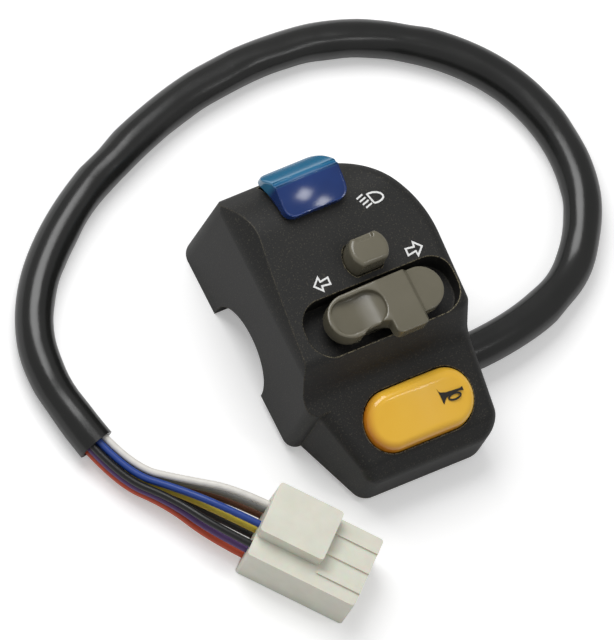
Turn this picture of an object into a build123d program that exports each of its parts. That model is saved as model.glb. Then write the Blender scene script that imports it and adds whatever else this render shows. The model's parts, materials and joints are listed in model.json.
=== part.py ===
"""Left-hand handlebar switch for a moped or light motorcycle, front half with its loom.

X runs along the handlebar, Y runs up the face of the switch and Z points out of the face.
The origin is on the axis of the handlebar, halfway along the housing.
The flat back edge of the housing is the parting plane, Z = 0, where a rear cover bolts on.
"""
from build123d import *
import math
import os

os.makedirs("parts", exist_ok=True)

MM = 1.0

# Handlebar and overall size of the housing
bar_radius = 11.1 * MM
body_width = 44.2 * MM
upper_reach = 28.7 * MM
lower_reach = 42.6 * MM
wall = 2.4 * MM
lip_depth = 2.5 * MM
face_height = 33.3 * MM
face_angle = 7.4
roll_radius = 13.0 * MM
edge_radius = 3.0 * MM

# Lower pod that carries the horn button
pod_wall_height = 10.5 * MM
pod_lip_height = 14.6 * MM
pod_lip_inset = 3.4 * MM
pod_angle = 21.4
step_foot = 20.8 * MM
step_head = 16.3 * MM
step_head_radius = 3.0 * MM
valley_radius = 4.5 * MM
pod_lip_radius = 3.0 * MM

# Outline of the housing seen from the front
clamp_reach = 25.3 * MM
clamp_step = 3.15 * MM
clamp_corner_share = 0.9
pod_left_inset = 10.2 * MM
pod_left_radius = 4.0 * MM
pod_right_radius = 6.0 * MM
shoulder_radius = 27.5 * MM
upper_left_radius = 4.0 * MM
band_width = 5.4 * MM
band_height = 9.0 * MM
band_foot = 28.0 * MM
band_bulge_x = 1.6 * MM
band_bulge_z = 5.2 * MM

# Fits and clearances
overrun = 1.0 * MM
seat_gap = 0.05 * MM
slide_gap = 0.25 * MM
bore_gap = 0.05 * MM
mesh_gap = 0.1 * MM

# Saddle collars and rear cover bosses
collar_depth = 2.6 * MM
collar_width = 5.0 * MM
boss_radius = 3.9 * MM
boss_x = 12.0 * MM
boss_reach = 18.5 * MM
insert_radius = 2.9 * MM
insert_hole_radius = 1.65 * MM
insert_length = 8.0 * MM

# Turn signal recess and knob
recess_left_rim = 3.7 * MM
recess_right_rim = 1.3 * MM
recess_width = 13.3 * MM
recess_radius = 5.8 * MM
recess_y = -9.85 * MM
recess_floor = 26.2 * MM
tray_wall = 1.8 * MM
knob_x = 1.7 * MM
knob_length = 29.6 * MM
knob_width = 10.6 * MM
knob_base = 26.8 * MM
knob_skirt = 30.0 * MM
knob_foot_inset = 1.4 * MM
knob_end_height = 34.6 * MM
knob_dish_height = 32.9 * MM
knob_crest_height = 35.9 * MM
knob_pad_height = 33.7 * MM
lobe_width = 8.6 * MM
lobe_reach = 8.4 * MM
lobe_base = 31.9 * MM
lobe_x = 4.8 * MM
turn_travel = 3.5 * MM
stem_length = 6.0 * MM
stem_width = 4.4 * MM

# Pass button
pass_x = 2.0 * MM
pass_y = 2.0 * MM
pass_radius = 4.7 * MM
pass_flat = 7.0 * MM
pass_proud = 6.2 * MM
pass_travel = 2.0 * MM
pass_guide_wall = 1.6 * MM
pass_collar_radius = 5.6 * MM
pass_collar_height = 1.5 * MM
pass_stem_radius = 1.6 * MM

# Horn button
horn_x = 3.6 * MM
horn_setback = 10.7 * MM
horn_length = 27.6 * MM
horn_width = 13.4 * MM
horn_proud = 3.2 * MM
horn_travel = 2.2 * MM
horn_guide_wall = 1.8 * MM
horn_guide_base = 10.5 * MM
horn_crown_radius = 2.4 * MM
horn_stem_radius = 1.5 * MM
horn_stem_spread = 9.6 * MM

# Dip rocker
dip_x = -3.9 * MM
dip_width = 16.3 * MM
dip_pivot_y = 20.0 * MM
dip_pivot_z = 27.8 * MM
dip_slot_width = 14.8 * MM
dip_slot_front = 16.6 * MM
dip_slot_back = 27.2 * MM
dip_swing = 12.0
pin_radius = 1.0 * MM
ear_width = 1.8 * MM
ear_reach = 3.4 * MM

# Contact bases and the posts that hold them
base_thickness = 1.6 * MM
post_radius = 2.0 * MM
pilot_radius = 0.8 * MM
pilot_depth = 5.0 * MM
main_base_top = 17.6 * MM
main_post_left_inset = 7.7 * MM
main_post_right_inset = 5.3 * MM
main_post_top_x = 10.6 * MM
main_post_top_y = 6.2 * MM
horn_base_top = 6.2 * MM
horn_post_left_inset = 10.3 * MM
horn_post_left_reach = 13.6 * MM
horn_post_right_inset = 5.2 * MM
horn_post_right_reach = 4.6 * MM
dip_base_top = 14.0 * MM
dip_post_spread = 9.5 * MM
dip_post_y = 18.2 * MM

# Loom where it leaves the housing
sleeve_radius = 4.5 * MM
sleeve_exit_y = -21.5 * MM
sleeve_exit_z = 4.8 * MM

sleeve_inner_radius = 3.6 * MM
sleeve_mouth_depth = 8.0 * MM

# Turn signal knob, its carrier and contacts
scoop_x = -5.6 * MM
scoop_length = 13.2 * MM
scoop_width = 8.4 * MM
scoop_corner = 3.9 * MM
scoop_radius = 12.0 * MM
pad_x = 9.8 * MM
pad_slope = 1.6 * MM
waist_radius = 7.0 * MM
waist_depth = 1.3 * MM
lobe_corner = 1.6 * MM
detent_thickness = 0.8 * MM
detent_length = 21.0 * MM
detent_hole_radius = 0.7 * MM
ball_radius = 1.0 * MM
ball_offset = 7.0 * MM
ball_spring_radius = 0.7 * MM
ball_spring_wire = 0.12 * MM
carrier_gap = 0.4 * MM
carrier_length = 19.0 * MM
carrier_width = 8.6 * MM
carrier_floor = 0.6 * MM
stem_web = 0.7 * MM
stake_radius = 0.5 * MM
stake_spread = 8.5 * MM
leaf_thickness = 0.5 * MM
leaf_width = 5.0 * MM
dimple_radius = 0.6 * MM
dimple_height = 0.5 * MM
rivet_radius = 1.6 * MM
rivet_head = 0.6 * MM
rivet_shank = 1.0 * MM
tag_width = 2.2 * MM
tag_thickness = 0.6 * MM
tag_length = 3.3 * MM

# Screws of the contact bases and of the knob
screw_head_radius = 1.8 * MM
screw_head_height = 1.1 * MM
screw_shank_radius = 0.75 * MM
screw_reach = 4.4 * MM
screw_clearance = 0.15 * MM
screw_slot = 0.5 * MM
base_margin = 0.4 * MM
base_corner = 1.2 * MM

# Pass button contacts and spring
pass_notch_width = 4.2 * MM
pass_notch_depth = 0.8 * MM
pass_notch_reach = 1.3 * MM
pass_edge = 0.9 * MM
pass_contact_length = 11.0 * MM
pass_contact_width = 4.8 * MM
pass_terminal_spread = 4.6 * MM
pass_spring_radius = 2.3 * MM
pass_spring_wire = 0.2 * MM

# Horn button contacts and spring
horn_wall = 1.6 * MM
horn_drop = 0.9 * MM
horn_lug_height = 1.2 * MM
horn_lug_reach = 0.9 * MM
horn_lug_width = 6.0 * MM
horn_seat_z = 13.2 * MM
horn_seat_radius = 4.4 * MM
horn_contact_length = 14.4 * MM
horn_contact_width = 4.0 * MM
horn_terminal_spread = 6.2 * MM
horn_spring_radius = 3.2 * MM
horn_spring_wire = 0.35 * MM
horn_boss_radius = 2.5 * MM
horn_boss_height = 1.2 * MM
horn_base_left_reach = 13.5 * MM
horn_base_right_reach = 0.2 * MM
horn_base_width = 12.6 * MM
horn_tag_length = 2.4 * MM

# Dip rocker cap, arm and see-saw lever
cap_front_y = 15.4 * MM
cap_front_z = 35.9 * MM
cap_lip_height = 2.4 * MM
cap_ridge_y = 22.9 * MM
cap_ridge_z = 40.5 * MM
cap_groove_width = 1.3 * MM
cap_groove_depth = 0.8 * MM
cap_back_y = 28.8 * MM
cap_back_z = 31.1 * MM
cap_tail_height = 2.1 * MM
cap_belly_y = 22.65 * MM
cap_belly_z = 34.3 * MM
cap_shoulder_y = 26.6 * MM
cap_shoulder_z = 35.6 * MM
cap_corner = 2.6 * MM
neck_gap = 0.3 * MM
neck_front_y = 17.8 * MM
neck_back_y = 26.0 * MM
hub_radius = 2.6 * MM
arm_length = 8.0 * MM
arm_width = 6.0 * MM
arm_depth = 5.0 * MM
plunger_radius = 1.5 * MM
plunger_length = 2.7 * MM
arm_bore_start = 3.1 * MM
dip_spring_radius = 1.1 * MM
dip_spring_wire = 0.17 * MM
fulcrum_z = 14.65 * MM
lever_thickness = 0.8 * MM
lever_length = 8.8 * MM
lever_width = 4.0 * MM
fulcrum_radius = 0.6 * MM
dip_contact_spread = 3.6 * MM
dip_contact_radius = 0.8 * MM
dip_contact_height = 0.75 * MM
dip_base_front = 15.0 * MM
dip_base_back = 25.0 * MM

# Wires from the sleeve's open end to the plug
wire_radius = 0.85 * MM
wire_pitch = 1.85 * MM
wire_start = 5.0 * MM
wire_lead = 9.0 * MM
wire_approach = 8.0 * MM
wire_grip = 4.0 * MM
wire_bend = (-52.0 * MM, -25.2 * MM)
wire_bend_pitch_y = 2.9 * MM
wire_bend_pitch_z = 2.3 * MM

# Nine-way plug
plug_rear_x = -39.3 * MM
plug_rear_y = -40.2 * MM
plug_turn = -50.0
plug_length = 27.0 * MM
plug_width = 18.0 * MM
plug_height = 12.0 * MM
plug_corner = 0.8 * MM
cell_pitch_y = 5.4 * MM
cell_pitch_z = 3.6 * MM
cell_width = 4.4 * MM
cell_height = 2.8 * MM
cell_depth = 20.0 * MM
cell_hole_radius = 1.3 * MM
hood_length = 16.0 * MM
hood_width = 13.0 * MM
hood_height = 4.0 * MM
rib_width = 1.0 * MM
rib_height = 0.6 * MM
contact_wall = 0.35 * MM
contact_gap = 0.3 * MM
contact_barrel = 1.05 * MM

# Shares
arc_share = 0.45

half = body_width / 2
floor_z = -lip_depth
recess_length = body_width - recess_left_rim - recess_right_rim
recess_x = (recess_left_rim - recess_right_rim) / 2
horn_y = horn_setback - lower_reach
main_post_left = main_post_left_inset - half
main_post_right = half - main_post_right_inset
horn_post_left = (horn_post_left_inset - half, horn_post_left_reach - lower_reach)
horn_post_right = (half - horn_post_right_inset, horn_post_right_reach - lower_reach)


def face_z(y):
    """Height of the main face at y."""
    return face_height + y * math.tan(math.radians(face_angle))


def pod_z(y):
    """Height of the pod's face at y."""
    return pod_lip_height + (y + lower_reach - pod_lip_inset) * math.tan(math.radians(pod_angle))


def nearest(points, place):
    """The vertex that lies closest to a place on the sketch."""
    return min(points, key=lambda p: (Vector(p.X, p.Y, p.Z) - place).length)


def side_profile(inset, base):
    """Side view of the housing, y across and z up, drawn in by inset and open down to base."""
    with BuildSketch() as profile:
        with BuildLine():
            Polyline(
                (-lower_reach, base),
                (-lower_reach, pod_wall_height),
                (-lower_reach + pod_lip_inset, pod_lip_height),
                (-step_foot, pod_z(-step_foot)),
                (-step_head, face_z(-step_head)),
                (upper_reach, face_z(upper_reach)),
                (upper_reach, base),
                close=True,
            )
        make_face()
        if inset > 0:
            offset(amount=-inset, kind=Kind.INTERSECTION)
        corners = [
            (upper_reach, face_z(upper_reach), roll_radius - inset),
            (-step_foot, pod_z(-step_foot), valley_radius + inset),
            (-step_head, face_z(-step_head), max(step_head_radius - inset, mesh_gap)),
            (-lower_reach + pod_lip_inset, pod_lip_height, pod_lip_radius),
        ]
        for y, z, radius in corners:
            corner = nearest(profile.vertices(), Vector(y, z, 0))
            fillet(corner, radius)
    return profile.sketch_local


def front_outline(inset):
    """Outline of the housing seen from the front, drawn in by inset."""
    with BuildSketch() as outline:
        with BuildLine():
            Polyline(
                (-half, upper_reach),
                (-half, -clamp_reach),
                (-half + clamp_step, -clamp_reach),
                (-half + pod_left_inset, -lower_reach),
                (half, -lower_reach),
                (half, upper_reach),
                close=True,
            )
        make_face()
        if inset > 0:
            offset(amount=-inset, kind=Kind.INTERSECTION)
        corners = [
            (half, upper_reach, shoulder_radius - inset),
            (-half, upper_reach, upper_left_radius - inset),
            (half, -lower_reach, pod_right_radius - inset),
            (-half + pod_left_inset, -lower_reach, pod_left_radius - inset),
        ]
        if inset == 0:
            corners.append((-half, -clamp_reach, clamp_step * clamp_corner_share))
        for x, y, radius in corners:
            fillet(nearest(outline.vertices(), Vector(x, y, 0)), radius)
    return outline.sketch_local


def hull(inset, base):
    """Solid between the front outline and the side view, both drawn in by inset."""
    with BuildPart() as body:
        with BuildSketch(Plane.YZ.offset(-half - overrun)):
            add(side_profile(inset, base))
        extrude(amount=body_width + 2 * overrun)
        with BuildSketch(Plane.XY.offset(base)):
            add(front_outline(inset))
        extrude(amount=2 * face_height, mode=Mode.INTERSECT)
        with BuildSketch(Plane.XZ.offset(-upper_reach - overrun)):
            with BuildLine():
                ThreePointArc(
                    (-half, band_foot - inset),
                    (-half + band_bulge_x, band_foot - inset + band_bulge_z),
                    (-half + band_width, band_foot - inset + band_height),
                )
                Polyline(
                    (-half + band_width, band_foot - inset + band_height),
                    (-half + band_width, 2 * face_height),
                    (-half - overrun, 2 * face_height),
                    (-half - overrun, band_foot - inset),
                    (-half, band_foot - inset),
                )
            make_face()
        extrude(amount=upper_reach + lower_reach + 2 * overrun, mode=Mode.SUBTRACT)
    return body.part


def discs(places, radius, base, height, mode=Mode.ADD):
    """Round posts, or holes with Mode.SUBTRACT, standing on Z = base; for use inside a part."""
    with BuildSketch(Plane.XY.offset(base)) as shape:
        with Locations(*places):
            Circle(radius)
    extrude(shape.sketch, amount=height, mode=mode)


def plate(centre, length, width, corner, base, height):
    """Flat plate with rounded corners on Z = base; for use inside a part."""
    with BuildSketch(Plane.XY.offset(base)) as shape:
        with Locations(centre):
            RectangleRounded(length, width, corner)
    extrude(shape.sketch, amount=height)


def block(centre, length, width, base, height, mode=Mode.ADD):
    """Square block, or a square hole with Mode.SUBTRACT, on Z = base; for use inside a part."""
    with BuildSketch(Plane.XY.offset(base)) as shape:
        with Locations(centre):
            Rectangle(length, width)
    extrude(shape.sketch, amount=height, mode=mode)


def within_walls(base, height):
    """Trim a base plate to stay clear of the housing's inner walls; for use inside a part."""
    with BuildSketch(Plane.XY.offset(base)) as room:
        add(front_outline(wall + base_margin))
    extrude(room.sketch, amount=height + overrun, mode=Mode.INTERSECT)


def screws(places, base, reach):
    """Slotted pan head screws driven upwards, heads against the plane Z = base."""
    head_base = base - screw_head_height
    discs(places, screw_head_radius, head_base, screw_head_height)
    discs(places, screw_shank_radius, base, reach)
    for place in places:
        block(place, 3 * screw_head_radius, screw_slot, head_base, screw_slot, Mode.SUBTRACT)


def rivets(places, head_radius, head_top, base, thickness, tag):
    """Contact rivets: a head on the base, a shank through it and a solder tag below."""
    discs(places, head_radius, base + thickness, head_top - base - thickness)
    discs(places, rivet_shank, base, thickness)
    for place in places:
        block(place, tag_width, tag_thickness, base - tag, tag)


def coil(plane, mean_radius, wire, length, turns, name):
    """Compression spring along a plane's normal: a round wire on two arcs for each half turn."""
    pitch = (length - 2 * wire) / turns
    halves = round(2 * turns)

    def place(turn):
        angle = 2 * math.pi * turn
        x, y = mean_radius * math.cos(angle), mean_radius * math.sin(angle)
        return plane.from_local_coords(Vector(x, y, wire + pitch * turn))

    def heading(turn):
        angle = 2 * math.pi * turn
        around = plane.y_dir * math.cos(angle) - plane.x_dir * math.sin(angle)
        return (around * (2 * math.pi * mean_radius) + plane.z_dir * pitch).normalized()

    with BuildPart() as spring:
        with BuildLine() as path:
            for k in range(halves):
                start, end = place(k / 2), place((k + 1) / 2)
                first, last = heading(k / 2), heading((k + 1) / 2)
                span, both = end - start, first + last
                spread = 2 * (1 - first.dot(last))
                root = math.sqrt(span.dot(both) ** 2 + spread * span.dot(span))
                reach = (root - span.dot(both)) / spread
                middle = (start + end + (first - last) * reach) * 0.5
                TangentArc(start, middle, tangent=first)
                TangentArc(middle, end, tangent=last * -1, tangent_from_first=False)
        with BuildSketch(Plane(origin=place(0), z_dir=heading(0))):
            Circle(wire)
        sweep(path=path.wires()[0])
    steps = 24
    dots = [path.wires()[0].position_at(i / (steps * turns)) for i in range(round(steps * turns) + 1)]
    gap = min(
        (b - a).length for i, a in enumerate(dots) for j, b in enumerate(dots) if j - i > steps / 2
    ) - 2 * wire
    share = spring.part.volume / coil_volume(path, wire)
    print(name, "wire gap", round(gap, 3), "volume share", round(share, 4))
    return spring.part


def coil_volume(path, wire):
    """Section of a wire times the length of its path."""
    return math.pi * wire ** 2 * path.wires()[0].length


def tube(points, radius, name):
    """Round tube on straight runs joined by arcs as large as the runs allow."""
    radii = []
    for before, corner, after in zip(points, points[1:], points[2:]):
        come, go = Vector(corner) - Vector(before), Vector(after) - Vector(corner)
        half_turn = math.radians(come.get_angle(go)) / 2
        radii.append(arc_share * min(come.length, go.length) / math.tan(half_turn))
    with BuildPart() as cord:
        with BuildLine() as path:
            FilletPolyline(*points, radius=radii)
        with BuildSketch(Plane(origin=points[0], z_dir=Vector(points[1]) - Vector(points[0]))):
            Circle(radius)
        sweep(path=path.wires()[0])
    share = cord.part.volume / coil_volume(path, radius)
    length = path.wires()[0].length
    print(name, "length", round(length, 1), "radii", [round(r, 1) for r in radii], round(share, 4))
    return cord.part


def save(part, name):
    """Label a finished piece and write it to its own file."""
    part.label = name
    export_step(part, "parts/" + name + ".step")


tray_base = recess_floor - tray_wall
pass_guide_base = tray_base
pass_top = face_z(pass_y) + pass_proud
main_posts = [
    (main_post_left, recess_y),
    (main_post_right, recess_y),
    (main_post_top_x, main_post_top_y),
]
horn_posts = [horn_post_left, horn_post_right]
dip_posts = [(dip_x - dip_post_spread, dip_post_y), (dip_x + dip_post_spread, dip_post_y)]
bosses = [(boss_x, boss_reach), (boss_x, -boss_reach)]

# Outer shape of the housing, with its front edges rounded from the right wall round to the pod
with BuildPart() as outer:
    add(hull(0, floor_z))
    pod_left_middle = Vector(
        -half + (clamp_step + pod_left_inset) / 2,
        -(clamp_reach + lower_reach) / 2,
        pod_z(-(clamp_reach + lower_reach) / 2),
    )
    fillet(outer.edges().sort_by_distance(pod_left_middle)[0], edge_radius)

# Walls, tubes and posts inside the housing, trimmed to its outer shape
with BuildPart() as inner_works:
    with BuildSketch(Plane.XY.offset(recess_floor - tray_wall)):
        with Locations((recess_x, recess_y)):
            RectangleRounded(
                recess_length + 2 * tray_wall, recess_width + 2 * tray_wall, recess_radius + tray_wall
            )
    extrude(amount=face_height)
    with BuildSketch(Plane.XY.offset(pass_guide_base)):
        with Locations((pass_x, pass_y)):
            Circle(pass_radius + pass_guide_wall)
    extrude(amount=face_height)
    with BuildSketch(Plane.XY.offset(horn_guide_base)):
        with Locations((horn_x, horn_y)):
            SlotOverall(
                horn_length + 2 * (slide_gap + horn_guide_wall),
                horn_width + 2 * (slide_gap + horn_guide_wall),
            )
    extrude(amount=face_height)
    with BuildSketch(Plane.XY):
        with Locations(*bosses):
            Circle(boss_radius)
    extrude(amount=2 * face_height)
    with BuildSketch(Plane.XY.offset(main_base_top)):
        with Locations(*main_posts):
            Circle(post_radius)
    extrude(amount=face_height)
    with BuildSketch(Plane.XY.offset(horn_base_top)):
        with Locations(*horn_posts):
            Circle(post_radius)
    extrude(amount=face_height)
    with BuildSketch(Plane.XY.offset(dip_base_top)):
        with Locations(*dip_posts):
            Circle(post_radius)
    extrude(amount=face_height)
    for side in (-1, 1):
        ear_face = dip_x + side * (dip_slot_width / 2 + ear_width / 2) - ear_width / 2
        with BuildSketch(Plane.YZ.offset(ear_face)):
            with Locations((dip_pivot_y, dip_pivot_z)):
                Circle(ear_reach)
            with Locations((dip_pivot_y, dip_pivot_z + face_height / 2)):
                Rectangle(2 * ear_reach, face_height)
        extrude(amount=ear_width)
        collar_face = side * (half - collar_width / 2) - collar_width / 2
        with BuildSketch(Plane.YZ.offset(collar_face)):
            Circle(bar_radius + collar_depth)
        extrude(amount=collar_width)
    add(outer.part, mode=Mode.INTERSECT)

with BuildPart() as front_housing:
    add(outer.part)
    add(hull(wall, floor_z - wall - overrun), mode=Mode.SUBTRACT)
    add(inner_works.part)

    # Turn signal recess with the slot for the knob's stem
    with BuildSketch(Plane.XY.offset(recess_floor)):
        with Locations((recess_x, recess_y)):
            RectangleRounded(recess_length, recess_width, recess_radius)
    extrude(amount=face_height, mode=Mode.SUBTRACT)
    with BuildSketch(Plane.XY.offset(recess_floor - tray_wall)):
        with Locations((knob_x, recess_y)):
            SlotOverall(
                stem_length + 2 * turn_travel + 4 * slide_gap + stem_width / 2, stem_width + 2 * slide_gap
            )
    extrude(amount=tray_wall, mode=Mode.SUBTRACT)

    # Guide bore of the pass button, a circle with two flats
    with BuildSketch(Plane.XY.offset(pass_guide_base)):
        with Locations((pass_x, pass_y)):
            Circle(pass_radius + slide_gap)
            Rectangle(
                2 * face_height, pass_flat + 2 * slide_gap, mode=Mode.INTERSECT
            )
    extrude(amount=face_height, mode=Mode.SUBTRACT)

    # Well of the horn button
    with BuildSketch(Plane.XY.offset(horn_guide_base)):
        with Locations((horn_x, horn_y)):
            SlotOverall(horn_length + 2 * slide_gap, horn_width + 2 * slide_gap)
    extrude(amount=face_height, mode=Mode.SUBTRACT)

    # Slot of the dip rocker through the rolled top edge, and the bore for its pin
    with BuildSketch(Plane.YZ.offset(dip_x - dip_slot_width / 2)):
        with BuildLine():
            Polyline(
                (dip_slot_front, dip_pivot_z - ear_reach),
                (dip_slot_back, dip_pivot_z - ear_reach),
                (dip_slot_back, 2 * face_height),
                (dip_slot_front, 2 * face_height),
                close=True,
            )
        make_face()
    extrude(amount=dip_slot_width, mode=Mode.SUBTRACT)
    with BuildSketch(Plane.YZ.offset(dip_x - dip_slot_width / 2 - ear_width)):
        with Locations((dip_pivot_y, dip_pivot_z)):
            Circle(pin_radius + bore_gap / 2)
    extrude(amount=dip_slot_width + 2 * ear_width, mode=Mode.SUBTRACT)

    # Handlebar saddle: the lower part ends on the parting plane, the upper part runs on as a lip
    with BuildSketch(Plane.YZ.offset(-half - overrun)):
        Circle(bar_radius)
        with Locations((bar_radius - (lower_reach + bar_radius + overrun) / 2, -lip_depth)):
            Rectangle(lower_reach + bar_radius + overrun, 2 * lip_depth)
    extrude(amount=body_width + 2 * overrun, mode=Mode.SUBTRACT)

    # Mouth for the loom in the right wall, open to the parting plane
    with BuildSketch(Plane.YZ.offset(half - wall - overrun)):
        with Locations((sleeve_exit_y, sleeve_exit_z)):
            Circle(sleeve_radius + bore_gap)
        with Locations((sleeve_exit_y, sleeve_exit_z / 2 - overrun / 2)):
            Rectangle(2 * (sleeve_radius + bore_gap), sleeve_exit_z + overrun)
    extrude(amount=wall + 2 * overrun, mode=Mode.SUBTRACT)

    # Insert sockets in the bosses and pilot holes in the posts
    with BuildSketch(Plane.XY):
        with Locations(*bosses):
            Circle(insert_radius)
    extrude(amount=insert_length, mode=Mode.SUBTRACT)
    post_rows = [(main_base_top, main_posts), (horn_base_top, horn_posts), (dip_base_top, dip_posts)]
    for top, places in post_rows:
        with BuildSketch(Plane.XY.offset(top)):
            with Locations(*places):
                Circle(pilot_radius)
        extrude(amount=pilot_depth, mode=Mode.SUBTRACT)
save(front_housing.part, "front_housing")

# Brass inserts for the rear cover's screws
with BuildPart() as cover_inserts:
    discs(bosses, insert_radius - bore_gap, 0, insert_length)
    discs(bosses, insert_hole_radius, 0, insert_length, Mode.SUBTRACT)
save(cover_inserts.part, "cover_inserts")

# Heights of the turn signal and pass mechanisms, worked out from the recess down
detent_base = tray_base - detent_thickness
carrier_top = detent_base - carrier_gap
carrier_base = main_base_top + rivet_head + mesh_gap + dimple_height + leaf_thickness
screw_pocket = screw_head_height + seat_gap
stem_base = carrier_base + screw_pocket + stem_web + seat_gap
ball_z = detent_base - seat_gap - ball_radius
stakes = [(knob_x + side * stake_spread, recess_y) for side in (-1, 1)]
pass_collar_top = pass_guide_base - seat_gap
pass_collar_base = pass_collar_top - pass_collar_height
waist_x = lobe_x - lobe_width / 2 - waist_radius * arc_share

# Turn signal knob: a long pad with a thumb scoop, a crest with a side lobe, and a low round end
knob_left = knob_x - knob_length / 2
knob_right = knob_x + knob_length / 2
with BuildPart() as turn_knob:
    with BuildSketch(Plane.XY.offset(knob_skirt)):
        with Locations((knob_x, recess_y)):
            SlotOverall(knob_length, knob_width)
        with Locations((waist_x, recess_y - knob_width / 2 - waist_radius + waist_depth)):
            Circle(waist_radius, mode=Mode.SUBTRACT)
    extrude(amount=face_height)
    lobe_centre = (lobe_x, recess_y - lobe_reach / 2)
    plate(lobe_centre, lobe_width, lobe_reach, lobe_corner, lobe_base, face_height)
    with BuildSketch(Plane.XZ.offset(-face_height)):
        with BuildLine():
            Polyline(
                (knob_left - overrun, knob_base - overrun),
                (knob_left - overrun, knob_end_height),
                (scoop_x + scoop_length / 2, knob_crest_height),
                (pad_x - pad_slope, knob_crest_height),
                (pad_x, knob_pad_height),
                (knob_right + overrun, knob_pad_height),
                (knob_right + overrun, knob_base - overrun),
                close=True,
            )
        make_face()
    extrude(amount=2 * face_height, mode=Mode.INTERSECT)
    with BuildPart(mode=Mode.PRIVATE) as scoop:
        with BuildSketch(Plane.XY.offset(knob_dish_height - overrun)) as oval:
            with Locations((scoop_x, recess_y)):
                RectangleRounded(scoop_length, scoop_width, scoop_corner)
        extrude(oval.sketch, amount=face_height)
        with BuildSketch(Plane.XZ.offset(-face_height)) as dish:
            with Locations((scoop_x, knob_dish_height + scoop_radius)):
                Circle(scoop_radius)
        extrude(dish.sketch, amount=3 * face_height, mode=Mode.INTERSECT)
    add(scoop.part, mode=Mode.SUBTRACT)
    with BuildSketch(Plane.XY.offset(knob_base)):
        with Locations((knob_x, recess_y)):
            SlotOverall(knob_length - 2 * knob_foot_inset, knob_width - 2 * knob_foot_inset)
    extrude(amount=knob_skirt - knob_base)
    block((knob_x, recess_y), stem_length, stem_width, stem_base, knob_base - stem_base)
    discs(
        [(knob_x, recess_y)], screw_shank_radius + bore_gap / 2, stem_base, screw_reach + overrun,
        Mode.SUBTRACT,
    )
save(turn_knob.part, "turn_knob")

# Detent plate under the recess, with three holes for the ball
with BuildPart() as turn_detent_plate:
    plate(
        (knob_x, recess_y), detent_length, carrier_width + mesh_gap, base_corner,
        detent_base, detent_thickness,
    )
    slot_length = stem_length + 2 * turn_travel + 4 * slide_gap + stem_width / 2
    with BuildSketch(Plane.XY.offset(detent_base)):
        with Locations((knob_x, recess_y)):
            SlotOverall(slot_length, stem_width + 2 * slide_gap)
    extrude(amount=detent_thickness, mode=Mode.SUBTRACT)
    notches = [(knob_x - ball_offset - stem_width / 2 + k * turn_travel, recess_y) for k in (-1, 0, 1)]
    discs(notches, detent_hole_radius, detent_base, detent_thickness, Mode.SUBTRACT)
save(turn_detent_plate.part, "turn_detent_plate")

# Carrier that the knob's stem drives along under the plate
ball_x = knob_x - ball_offset - stem_width / 2
with BuildPart() as turn_carrier:
    plate(
        (knob_x, recess_y), carrier_length, carrier_width, base_corner,
        carrier_base, carrier_top - carrier_base,
    )
    block(
        (knob_x, recess_y), stem_length + 2 * bore_gap, stem_width + 2 * bore_gap,
        stem_base - seat_gap, carrier_top, Mode.SUBTRACT,
    )
    discs(
        [(knob_x, recess_y)], screw_shank_radius + screw_clearance, carrier_base, carrier_top,
        Mode.SUBTRACT,
    )
    discs([(knob_x, recess_y)], screw_head_radius + seat_gap, carrier_base, screw_pocket, Mode.SUBTRACT)
    discs(
        [(ball_x, recess_y)], ball_radius + bore_gap, carrier_base + carrier_floor, carrier_top,
        Mode.SUBTRACT,
    )
    discs(stakes, stake_radius, carrier_base - leaf_thickness, leaf_thickness)
save(turn_carrier.part, "turn_carrier")

with BuildPart() as turn_detent_ball:
    with Locations((ball_x, recess_y, ball_z)):
        Sphere(ball_radius)
save(turn_detent_ball.part, "turn_detent_ball")

ball_spring_base = carrier_base + carrier_floor + seat_gap
ball_spring_top = ball_z - math.sqrt(ball_radius ** 2 - ball_spring_radius ** 2) - 2 * seat_gap
turn_detent_spring = coil(
    Plane(origin=(ball_x, recess_y, ball_spring_base)), ball_spring_radius, ball_spring_wire,
    ball_spring_top - ball_spring_base, 2, "turn_detent_spring",
)
save(turn_detent_spring, "turn_detent_spring")

with BuildPart() as knob_screw:
    screws([(knob_x, recess_y)], carrier_base + screw_pocket, screw_reach)
save(knob_screw.part, "knob_screw")

# Brass leaf under the carrier that bridges two of the three rivets
with BuildPart() as turn_contact:
    plate(
        (knob_x, recess_y), carrier_length, leaf_width, base_corner,
        carrier_base - leaf_thickness, leaf_thickness,
    )
    discs(stakes, stake_radius + bore_gap, carrier_base - leaf_thickness, leaf_thickness, Mode.SUBTRACT)
    dimples = [(knob_x + side * turn_travel, recess_y) for side in (-1, 1)]
    discs(dimples, dimple_radius, carrier_base - leaf_thickness - dimple_height, dimple_height)
save(turn_contact.part, "turn_contact")

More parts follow.
